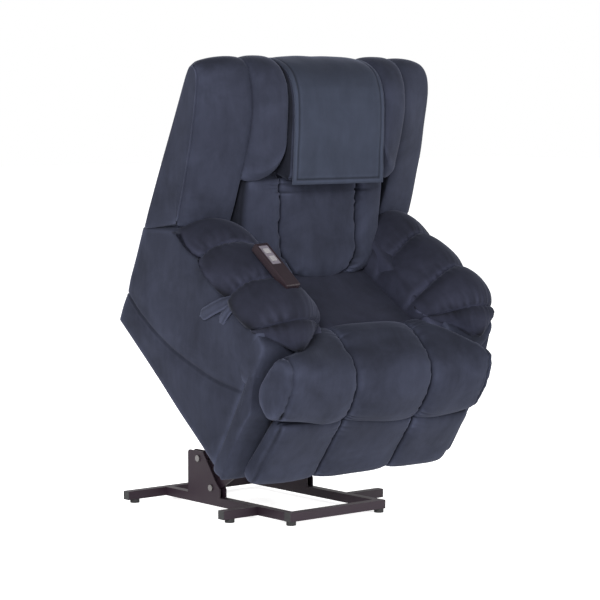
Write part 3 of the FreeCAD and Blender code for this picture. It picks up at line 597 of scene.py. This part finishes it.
def arm_place(sign):
    """Placing for an arm pad: narrows the nose in plan, and sits the outer edge on the side panel."""
    def place(points):
        points = np.array(points, float)
        x, forward, up = np.abs(points[:, 0]), points[:, 1], points[:, 2]
        share = np.interp(forward, *NOSE)
        share = share * (1 - 0.40 * ease(0.478 - up, 0.0, 0.055) * ease(forward, 0.46, 0.51))
        x = NOSE_X + (x - NOSE_X) * share
        if sign > 0:        # the sitter's left nose is fuller on its outer side
            x = x + 0.015 * ease(forward, 0.48, 0.54) * ease(x, 0.34, 0.40) * ease(up, 0.458, 0.475)
        outer = ease(x, 0.335, 0.375) * (1 - ease(forward, 0.47, 0.51))
        lowest = np.minimum(0.416, np.interp(forward, *np.transpose(PANEL_LINE)) - 0.011)
        lowest = lowest + 0.10 * np.clip(0.378 - x, 0, 1)
        points[:, 2] = np.where(up < lowest, up * (1 - outer) + lowest * outer, up)
        points[:, 0] = sign * x
        return from_chair(points)
    return place


def make_arm(side, sign):
    """Arm pad: a long pillow sewn in shell-like channels, its front end rolled down."""
    size = 128
    path = smooth_curve(ARM_PATH, 400, closed=False)
    length = arc_length(path)
    total = length[-1]
    cap_seam = total - ARM_CAP
    marks = [0.0, ARM_SEAMS[0], ARM_SEAMS[1], cap_seam, total + 0.012]
    distance = spaced(0.0, total, marks, 0.0042)
    spine = resample(path, length, distance)
    ahead = np.gradient(spine, axis=0)
    ahead /= np.linalg.norm(ahead, axis=1, keepdims=True)
    base = smooth_curve(ARM_LOOP, size)
    normal = loop_normals(base)
    lag = np.clip((0.400 - base[:, 0]) / 0.23, 0, 1) * 0.075
    top_side = np.clip((base[:, 1] + 0.080) / 0.05, 0, 1)
    origins, first, second, along, loops = [], [], [], [], []
    for index, s in enumerate(distance):
        origins.append((0, spine[index, 0], spine[index, 1]))
        first.append((sign, 0, 0))
        second.append((0, -ahead[index, 1], ahead[index, 0]))
        along.append((0, ahead[index, 0], ahead[index, 1]))
        own = np.clip(s - lag * (1 - ease(s, cap_seam - 0.13, cap_seam - 0.015)), 0, total)
        height = 0.029 - 0.008 * ease(own, cap_seam - 0.01, cap_seam + 0.01)
        lift = (crown(own, marks, 2.2) - 0.15) * height
        near = seam_distance(own, marks)
        points = np.stack([base[:, 0], np.full(size, s), base[:, 1]], -1)
        lines = crease(points * (1, 0.12, 1), 0.015, 11 + sign) * -0.0052 * np.exp(-near / 0.022)
        broad = ripple(points, 0.10, 14 + sign) * 0.005
        swollen = base + normal * ((lift + lines + broad) * top_side)[:, None]
        rear = 1 - 0.16 * (1 - ease(s, 0.0, 0.06)) ** 2
        loops.append(ARM_CENTRE + (swollen - ARM_CENTRE) * np.array((0.80 + 0.20 * rear, rear)))
    arm = tube_mesh("arm_pad_skin_" + side, np.array(origins), np.array(first, float),
                    np.array(second), np.array(along), loops, (0.020, 0.016), arm_place(sign), power=2.4)
    return finish_soft(arm, "seat_unit", "velvet_top", ["arm_pad_" + side])


# ---------------------------------------------------------------- flat panels

def coons(bottom, top, rear, front, columns, rows):
    """A grid of (forward, up) points between four edge curves that share their corners."""
    s = np.linspace(0, 1, columns)[:, None, None]
    t = np.linspace(0, 1, rows)[None, :, None]
    low, high = bottom[:, None, :], top[:, None, :]
    left, right = rear[None, :, :], front[None, :, :]
    corners = ((1 - s) * (1 - t) * bottom[0] + s * (1 - t) * bottom[-1]
               + (1 - s) * t * top[0] + s * t * top[-1])
    return (1 - t) * low + t * high + (1 - s) * left + s * right - corners


def polyline(points, count):
    """Evenly spaced points along straight runs."""
    points = np.asarray(points, float)
    length = arc_length(points)
    return resample(points, length, np.linspace(0, length[-1], count))


def curve_distance(points, line):
    """Distance of each point of a grid from a sampled curve."""
    gap = points[..., None, :] - line[None, None]
    return np.sqrt((gap ** 2).sum(-1)).min(-1)


def slab(name, grid, outer, inner, place):
    """A closed panel from a grid of (forward, up) points and its outer and inner x."""
    front = np.concatenate([outer[..., None], grid], -1)
    back = np.concatenate([inner[..., None], grid], -1)
    verts = np.concatenate([front.reshape(-1, 3), back.reshape(-1, 3)])
    return make_object(name, place(verts), two_sided_faces(*grid.shape[:2]))


# the curved seam of the side panel, from rear to front, as (forward, up)
POCKET_SEAM = [(-0.036, 0.092), (0.040, 0.094), (0.126, 0.102), (0.200, 0.116), (0.270, 0.136),
               (0.398, 0.184), (0.470, 0.220), (0.545, 0.262)]


def make_side_panel(side, sign):
    """Side panel: lightly padded, with a curved pocket seam and its row of top-stitching."""
    columns, rows = 110, 90
    bottom = polyline([(-0.010, 0.002), (0.577, 0.004)], columns)
    top = polyline(PANEL_LINE, columns)
    rear = polyline([(-0.010, 0.002), PANEL_LINE[0]], rows)
    front = polyline([(0.577, 0.004), (0.552, 0.170), (0.512, 0.340), (0.484, 0.432)], rows)
    grid = coons(bottom, top, rear, front, columns, rows)
    edge = np.minimum.reduce([curve_distance(grid, line) for line in (bottom, top, rear, front)])
    seam = smooth_curve(POCKET_SEAM, 200, closed=False)
    gap = curve_distance(grid, seam)
    below = grid[..., 1] < np.interp(grid[..., 0], seam[:, 0], seam[:, 1])
    radius = 0.014
    rounding = radius * (1 - np.sqrt(1 - (1 - np.clip(edge / radius, 0, 1)) ** 2))
    puff = 0.006 * ease(edge, 0, 0.10) + 0.0035 * ease(gap, 0.0, 0.05)
    groove = 0.0045 * np.exp(-(gap / 0.0035) ** 2)
    stitch = 0.0012 * np.exp(-((gap - 0.012) / 0.0018) ** 2) * below
    points = np.concatenate([np.full(grid.shape[:2] + (1,), sign * 0.43), grid], -1)
    broad = ripple(points, 0.16, 21 + sign) * 0.003
    outer = sign * (HALF - 0.004 - rounding + puff - groove - stitch + broad)
    inner = np.full_like(outer, sign * (HALF - 0.037))
    panel = slab("side_panel_skin_" + side, grid, outer, inner, from_chair)
    return finish_soft(panel, "seat_unit", "velvet", ["side_panel_" + side])


def make_inner_arm(side, sign):
    """The upright inner face of the arm, under the arm pad."""
    half_u, half_w = 0.215, 0.085
    size = 64
    stations = np.linspace(0.205, 0.372, 14)
    angle = np.linspace(0, 2 * math.pi, size, endpoint=False)
    squared = [np.sign(wave) * np.abs(wave) ** 0.35 for wave in (np.cos(angle), np.sin(angle))]
    loop = np.stack([0.285 + half_u * squared[0], 0.340 + half_w * squared[1]], -1)
    face = roll_across("inner_arm_skin_" + side, sign * stations, [loop] * len(stations),
                       (0.012 * sign, 0.004 * sign), from_chair)
    return finish_soft(face, "seat_unit", "velvet_top", ["inner_arm_" + side])


def rounded_prism(name, outline, ends, size, swell, seed, place, body="seat_unit", nodes=()):
    """A padded strip: one outline carried straight across, gently swollen and round-ended."""
    low, high = sorted(ends)
    stations = spaced(low, high, [low, high], max(0.01, (high - low) / 60))
    loops = channelled_loops(stations, lambda x: outline, [low, high], swell, seed, size=size)
    thing = roll_across(name, stations, loops, (0.006, 0.006), place)
    return finish_soft(thing, body, "velvet", nodes)


def make_front_posts():
    """Upholstered facings between the side panels and the footrest, one per side."""
    outline = [(0.618, 0.010, 0.6), (0.605, 0.100, 1), (0.592, 0.196, 0.6), (0.588, 0.238, 0.2),
               (0.556, 0.290, 0.2), (0.528, 0.360, 0.3), (0.500, 0.412, 0.2), (0.486, 0.408, 0),
               (0.512, 0.340, 0), (0.540, 0.200, 0), (0.562, 0.080, 0), (0.574, 0.002, 0),
               (0.606, 0.001, 0.2)]
    for side, sign in SIDES:
        rounded_prism("front_post_skin_" + side, outline, (sign * 0.336, sign * (HALF - 0.004)), 120, 0.004,
                      31, from_chair, nodes=["front_posts"] if sign < 0 else [])


def make_rear():
    """Rear panel of the seat box, and the fabric flap that closes the gap under the backrest."""
    panel = [(-0.001, 0.088, 0.3), (-0.017, 0.130, 1), (-0.032, 0.180, 1), (-0.047, 0.234, 0.3),
             (-0.036, 0.240, 0), (-0.024, 0.232, 0), (0.000, 0.160, 0), (0.018, 0.092, 0)]
    rounded_prism("rear_panel_skin", panel, (-0.391, 0.391), 80, 0.006, 81, from_chair, nodes=["rear_panel"])
    flap = [(0.276, -0.030, 0.3), (0.283, 0.000, 1), (0.288, 0.030, 1), (0.288, 0.052, 0.5),
            (0.282, 0.056, 0), (0.276, 0.034, 0), (0.271, 0.000, 0), (0.269, -0.026, 0)]
    rounded_prism("rear_flap", flap, (-0.368, 0.368), 60, 0.002, 83, from_back, "backrest")


def make_arm_rears():
    """Covered rear end of each arm, inside the wing; it shows when the back reclines.

    It starts outside the brackets of the recline hinge. It is set on the seat, and the wing's foot
    passes through it as the back reclines.
    """
    outline = [(0.160, 0.085, 0), (0.160, 0.120, 0.5), (0.188, 0.158, 1), (0.228, 0.174, 1),
               (0.260, 0.162, 0.5), (0.266, 0.070, 0), (0.254, 0.034, 0), (0.200, 0.052, 0)]
    for side, sign in SIDES:
        rounded_prism("arm_rear_skin_" + side, outline, (sign * 0.232, sign * 0.404), 80, 0.003, 91 + sign,
                      from_back)


def make_arm_fronts():
    """Velvet wrapped round the front of each arm, between the pad's nose and the seat roll."""
    outline = [(0.542, 0.290, 0.6), (0.537, 0.340, 1), (0.526, 0.388, 1), (0.506, 0.414, 0.5),
               (0.476, 0.420, 0), (0.462, 0.400, 0), (0.462, 0.300, 0), (0.500, 0.280, 0)]

    def place(points):
        """Chair points to scene points; the sitter's left one is pinched in low down."""
        points = np.array(points, float)
        x = np.abs(points[:, 0])
        pinch = 0.032 * (points[:, 0] > 0) * ease(0.430 - points[:, 2], 0, 0.09) * ease(x, 0.33, 0.42)
        points[:, 0] = np.sign(points[:, 0]) * (x - pinch)
        return from_chair(points)

    for side, sign in SIDES:
        rounded_prism("arm_front_skin_" + side, outline, (sign * 0.250, sign * (HALF - 0.004)), 90, 0.005,
                      33 + sign, place)


def make_welt(name, points, body, place):
    """A corded welt sewn along an edge."""
    size, radius = 8, 0.0028
    centre = place(np.asarray(points, float))
    along = np.gradient(centre, axis=0)
    first = np.cross(along, ACROSS)
    second = np.cross(along, first)
    first /= np.linalg.norm(first, axis=1, keepdims=True)
    second /= np.linalg.norm(second, axis=1, keepdims=True)
    turn = np.linspace(0, 2 * math.pi, size, endpoint=False)
    verts = (centre[:, None] + radius * (np.cos(turn)[None, :, None] * first[:, None]
                                         + np.sin(turn)[None, :, None] * second[:, None])).reshape(-1, 3)
    count = len(centre)
    faces = [(r * size + c, r * size + (c + 1) % size, (r + 1) * size + (c + 1) % size, (r + 1) * size + c)
             for r in range(count - 1) for c in range(size)]
    faces += [tuple(range(size)), tuple((count - 1) * size + c for c in range(size))]
    finish_soft(make_object(name, verts, faces), body, "velvet")


def make_pull():
    """Side pull: two stitched fabric tongues that hang out of the arm seam."""
    columns, rows = 48, 13
    thick = 0.0035
    rounded = 0.86          # share of a tongue's length where its rounded tip starts
    for name, root, tip, wide in (("long", (0.350, 0.436), (0.276, 0.296), 0.034),
                                  ("short", (0.358, 0.434), (0.346, 0.338), 0.028)):
        root, tip = np.array(root), np.array(tip)
        along = tip - root
        reach = np.linalg.norm(along)
        along = along / reach
        over = np.array((-along[1], along[0]))
        outer = []
        for s in np.linspace(0, 1, columns):
            end = math.sqrt(max(0.0, 1 - ((s - rounded) / (1 - rounded)) ** 2)) if s > rounded else 1.0
            width = wide * (0.55 + 0.45 * ease(s, 0, 0.35)) * max(end, 0.05)
            for t in np.linspace(-1, 1, rows):
                place = root + along * reach * s + over * width / 2 * t
                lift = 0.0065 * math.sin(math.pi * s) + 0.004 * (1 - t * t) - 0.0016 * math.exp(
                    -((abs(t) - 0.62) / 0.12) ** 2) + (0.004 if name == "short" else 0.010)
                outer.append((-(HALF + lift), *place))
        inner = [(x + thick, u, w) for x, u, w in outer]
        tongue = make_object("side_pull_" + name, from_chair(outer + inner), two_sided_faces(columns, rows))
        finish_soft(tongue, "seat_unit", "velvet", ["side_pull"] if name == "long" else [])


# ---------------------------------------------------------------- backrest

LOBE_IN, LOBE_OUT = 0.172, 0.280
# front faces of the back, as heights up the back and how far rearward each lies: middle, seam and outer edge
PAD_FRONT = ((0.24, 0.30, 0.34, 0.40, 0.44, 0.48, 0.514, 0.546),
             (0.016, 0.026, 0.037, 0.054, 0.066, 0.080, 0.101, 0.130))
EDGE_FRONT = ((0.04, 0.12, 0.20, 0.30, 0.36, 0.40, 0.43, 0.457, 0.484, 0.511, 0.545),
              (0.118, 0.112, 0.108, 0.108, 0.108, 0.111, 0.116, 0.123, 0.137, 0.152, 0.186))
WELT_FRONT = ((0.04, 0.159, 0.224, 0.289, 0.35, 0.412, 0.473, 0.524, 0.545),
              (0.142, 0.147, 0.150, 0.155, 0.164, 0.174, 0.186, 0.214, 0.240))


def rear_at(z):
    """Rear face of the backrest at height z: it leans in a little towards the top."""
    return 0.291 - 0.052 * (z - 0.05)


def back_place(sign=1):
    """Placing for the backrest's outer pieces: the back narrows towards its upper rear corners."""
    def place(points):
        points = np.array(points, float)
        points[:, 0] *= sign * (1 - 0.03 * ease(points[:, 2], 0.08, 0.56) * ease(points[:, 1], 0.15, 0.28))
        return from_back(points)
    return place


def side_profile(bottom, front_at, top, rear_inset=0.004, foot=0.030, bend=0.034, heel=None):
    """Closed side outline of an upper back piece: front face, over the top, and down the rear."""
    heights = np.linspace(bottom + foot, top - bend, 12)
    points = [(front_at(bottom) + foot * 1.25, bottom, 0.1),
              (front_at(bottom) + foot * 0.3, bottom + foot * 0.3, 0.6)]
    points += [(front_at(z), z, 1.0) for z in heights]
    shoulder = front_at(top - bend)
    rear = rear_at(top) - rear_inset
    points += [(shoulder + (rear - shoulder) * 0.24, top - bend * 0.30, 1.0),
               (shoulder + (rear - shoulder) * 0.56, top, 0.8), (rear - 0.010, top - 0.008, 0.5),
               (rear, top - 0.032, 0.3)]
    heel = bottom if heel is None else heel
    points += [(rear_at(z) - rear_inset, z, 0.0) for z in np.linspace(top - 0.12, heel + 0.014, 5)]
    points += [(rear_at(heel) - rear_inset - 0.012, heel + 0.002, 0.0)]
    return points


def make_lumbar():
    """Lumbar cushion: three upright channels, set back under the head pillow and rounded at the foot."""
    reach, seam_x = 0.252, 0.143
    seams = [-reach, -seam_x, seam_x, reach]
    stations = spaced(-reach, reach, seams, 0.006)

    def base_at(x):
        side = ease(abs(x), seam_x, reach)
        profile = [(0.030, 0.000, 0.3), (0.012, 0.006, 0.8), (0.016, 0.028, 1), (0.040, 0.075, 1),
                   (0.060, 0.120, 1), (0.076, 0.170, 1), (0.092, 0.215, 1), (0.108, 0.256, 0.6),
                   (0.150, 0.262, 0), (0.162, 0.180, 0), (0.164, 0.090, 0), (0.110, 0.020, 0)]
        return [(y + side * (0.046 - 0.12 * z), z + side * 0.012, swell) for y, z, swell in profile]

    loops = channelled_loops(stations, base_at, seams, 0.032, seed=6, gather=0.0052)

    def place(points):
        """Back points to scene points; the two seams run together towards the foot."""
        points = np.array(points, float)
        seam = np.interp(points[:, 2], (-0.007, 0.028, 0.060, 0.20), (0.082, 0.116, 0.141, seam_x))
        width = np.abs(points[:, 0])
        squeezed = np.where(width < seam_x, width * seam / seam_x,
                            seam + (width - seam_x) * (reach - seam) / (reach - seam_x))
        points[:, 0] = np.sign(points[:, 0]) * squeezed
        return from_back(points)

    cushion = roll_across("lumbar_skin", stations, loops, (0.012, 0.012), place, sewn=(True, True))
    return finish_soft(cushion, "backrest", "velvet", ["lumbar_cushion"])


def make_headrest_pad():
    """Middle of the upper back, under the cover: rolls over the top of the backrest."""
    half = LOBE_IN - 0.004
    seams = [-half, half]
    stations = spaced(-half, half, seams, 0.010)
    profile = side_profile(0.278, lambda z: np.interp(z, *PAD_FRONT) + 0.008, 0.557, foot=0.020)
    loops = channelled_loops(stations, lambda x: profile, seams, 0.006, seed=7)
    pad = roll_across("headrest_pad_skin", stations, loops, (0.008, 0.008), from_back, sewn=(True, True))
    return finish_soft(pad, "backrest", "velvet", ["upper_back_cushion"])


def make_lobe(side, sign):
    """Side pillow of the upper back: a tall crescent with a rounded foot that rolls over the top."""
    seams = [LOBE_IN, LOBE_OUT]
    stations = spaced(LOBE_IN, LOBE_OUT, seams, 0.0045)

    def base_at(x):
        share = (x - LOBE_IN) / (LOBE_OUT - LOBE_IN)
        bottom = 0.252 + 0.125 * (1 - math.sqrt(max(0.0, 1 - (1 - share) ** 2)))

        def front(z):
            middle, edge = np.interp(z, *PAD_FRONT) + 0.034, np.interp(z, *EDGE_FRONT) + 0.004
            return middle * (1 - share) + edge * share

        return side_profile(bottom, front, 0.544 - 0.002 * share, foot=0.034)

    loops = channelled_loops(stations, base_at, seams, 0.034, seed=41 + sign, gather=0.0022)
    lobe = roll_across("upper_back_lobe_" + side, stations, loops, (0.006, 0.006), back_place(sign),
                       sewn=(True, True))
    return finish_soft(lobe, "backrest", "velvet", ())


def make_wing(side, sign):
    """Wing: a front band that slants back to the welt, then the flat outer side of the back."""
    inner, outer = LOBE_OUT - 0.004, HALF
    seams = [inner, outer]
    stations = spaced(inner, outer, seams, 0.005)

    def base_at(x):
        share = (x - inner) / (outer - inner)
        rounding = 0.003 * ease(x, HALF - 0.016, HALF)
        top = 0.552 - 0.018 * share ** 2.2 - rounding

        def front(z):
            return np.interp(z, *EDGE_FRONT) * (1 - share) + np.interp(z, *WELT_FRONT) * share + rounding

        return side_profile(0.104, front, top, 0.002 + rounding, foot=0.010, bend=0.034 + 0.018 * share,
                            heel=0.042)

    loops = channelled_loops(stations, base_at, seams, 0.014, seed=51 + sign, gather=0.0014)
    edge = loops[-1][(loops[-1][:, 0] < 0.245) & (loops[-1][:, 1] > 0.115)]
    edge = edge[np.argsort(edge[:, 1])]
    edge = np.concatenate([np.full((len(edge), 1), stations[-1] + 0.001), edge], -1)
    make_welt("wing_welt_" + side, edge, "backrest", back_place(sign))
    wing = roll_across("back_wing_skin_" + side, stations, loops, (0.004, 0.003), back_place(sign),
                       sewn=(True, False))
    return finish_soft(wing, "backrest", "velvet", ["back_wing_" + side])


def make_back_shell():
    """Outside back: a smooth padded panel between the wings."""
    outline = [(0.252, 0.040, 0), (0.270, 0.044, 0.5)]
    outline += [(rear_at(z) - 0.001, z, 1) for z in (0.09, 0.16, 0.26, 0.36, 0.46, 0.50)]
    outline += [(0.252, 0.538, 0.6), (0.226, 0.550, 0.2), (0.200, 0.540, 0)]
    outline += [(rear_at(z) - 0.026, z, 0) for z in (0.48, 0.36, 0.20, 0.09)]
    rounded_prism("back_shell_skin", outline, (-0.277, 0.277), 72, 0.004, 61, back_place(), "backrest",
                  ["back_outer_shell"])


COVER_HALF = 0.166


def cover_line(count):
    """Side line of the headrest cover, from its front hem over the top to its rear hem."""
    points = [(0.014, 0.272), (0.024, 0.310), (0.036, 0.350), (0.047, 0.400), (0.060, 0.440), (0.076, 0.482),
              (0.098, 0.520), (0.130, 0.549), (0.176, 0.563), (0.226, 0.561), (0.262, 0.540), (0.270, 0.500),
              (0.272, 0.450)]
    return smooth_curve(points, count, closed=False)


def make_cover():
    """Headrest cover: one sheet of velvet laid over the top of the back, with a stitched hem."""
    rows, columns = 230, 120
    line = cover_line(rows)
    length = arc_length(line)
    along = np.gradient(line, axis=0)
    along /= np.linalg.norm(along, axis=1, keepdims=True)
    outward = np.stack([-along[:, 1], along[:, 0]], -1)
    across = np.linspace(-COVER_HALF, COVER_HALF, columns)
    grid = np.zeros((rows, columns, 3))
    for row in range(rows):
        edge = np.minimum(COVER_HALF - np.abs(across), min(length[row], length[-1] - length[row]))
        hem = 0.0012 * (1 - ease(edge, 0.011, 0.015)) - 0.0013 * np.exp(-((edge - 0.0145) / 0.0026) ** 2)
        droop = -0.010 * (np.abs(across) / COVER_HALF) ** 4
        lift = 0.0030 + hem + droop * ease(length[row], 0.0, 0.2)
        points = np.stack([across, *np.full((columns, 2), line[row]).T], -1)
        lift = lift + ripple(points, 0.07, 71) * 0.0022
        flare = 1 + 0.012 * (1 - ease(length[row], 0.0, 0.10))
        grid[row, :, 0] = across * flare
        grid[row, :, 1:] = line[row] + outward[row] * lift[:, None]
    verts = from_back(grid.reshape(-1, 3))
    faces = [(r * columns + c, r * columns + c + 1, (r + 1) * columns + c + 1, (r + 1) * columns + c)
             for r in range(rows - 1) for c in range(columns - 1)]
    cover = make_object("headrest_cover_skin", verts, faces)
    thick = cover.modifiers.new("thickness", "SOLIDIFY")
    thick.thickness = 0.003
    thick.offset = 0.0
    finish_soft(cover, "backrest", "headrest_velvet", ["headrest_cover"])
    return cover


# ---------------------------------------------------------------- stage

CAMERA_PLACE, CAMERA_AIM = (-4.277, -5.153, 1.194), (0.537, 0.648, 0.545)


def put(thing, place, aim):
    """Set a camera or light at a place, turned to look at another, and link it to the scene."""
    place = Vector(place)
    turn = (Vector(aim) - place).to_track_quat("-Z", "Y").to_matrix().to_4x4()
    thing.matrix_world = Matrix.Translation(place) @ turn
    bpy.context.scene.collection.objects.link(thing)


def make_camera():
    """Camera at the angle of a three-quarter catalogue view."""
    data = bpy.data.cameras.new("camera")
    data.lens = 139.4
    data.sensor_width = 36.0
    camera = bpy.data.objects.new("camera", data)
    put(camera, CAMERA_PLACE, CAMERA_AIM)
    bpy.context.scene.camera = camera


def area_light(name, place, size, power):
    """A soft rectangular light pointed at the middle of the chair."""
    data = bpy.data.lights.new(name, "AREA")
    data.shape = "RECTANGLE"
    data.size, data.size_y = size
    data.energy = power
    put(bpy.data.objects.new(name, data), place, (0, 0, 0.6))


def as_seen(tree, lit, seen, socket):
    """Drive a strength: one value where it lights the scene, another where the camera sees it directly."""
    camera_ray = tree.nodes.new("ShaderNodeLightPath").outputs["Is Camera Ray"]
    tree.links.new(map_range(tree, camera_ray, To_Min=lit, To_Max=seen), socket)


def make_stage():
    """White sweep and soft studio light."""
    world = bpy.data.worlds.new("studio")
    bpy.context.scene.world = world
    world.use_nodes = True
    tree = world.node_tree
    background = tree.nodes["Background"]
    background.inputs["Color"].default_value = (1.0, 1.0, 1.0, 1)
    as_seen(tree, 0.50, 1.0, background.inputs["Strength"])
    bpy.ops.mesh.primitive_plane_add(size=60, location=(0, 0, -0.0005))
    floor = bpy.context.object
    floor.name = "studio_floor"
    material, tree, shader = node_material("studio_floor")
    set_inputs(shader, Base_Color=(1, 1, 1, 1), Roughness=0.9, Emission_Color=(1, 1, 1, 1))
    as_seen(tree, 0.25, 0.75, shader.inputs["Emission Strength"])
    floor.data.materials.append(material)
    area_light("key", (-4.6, -4.0, 2.9), (2.0, 2.0), 420)
    area_light("fill", (3.6, -4.2, 1.6), (2.6, 2.6), 110)
    area_light("rim", (0.5, 4.2, 3.4), (3.0, 1.6), 120)
    bpy.context.scene.view_settings.view_transform = "Standard"


make_camera()
make_stage()
dress_hard_nodes()
make_seat_roll()
make_seat_cushion()
make_footrest()
for SIDE, SIGN in SIDES:
    make_arm(SIDE, SIGN)
    make_side_panel(SIDE, SIGN)
    make_inner_arm(SIDE, SIGN)
    make_lobe(SIDE, SIGN)
    make_wing(SIDE, SIGN)
make_front_posts()
make_rear()
make_arm_rears()
make_arm_fronts()
make_pull()
make_lumbar()
make_headrest_pad()
make_back_shell()
make_cover()
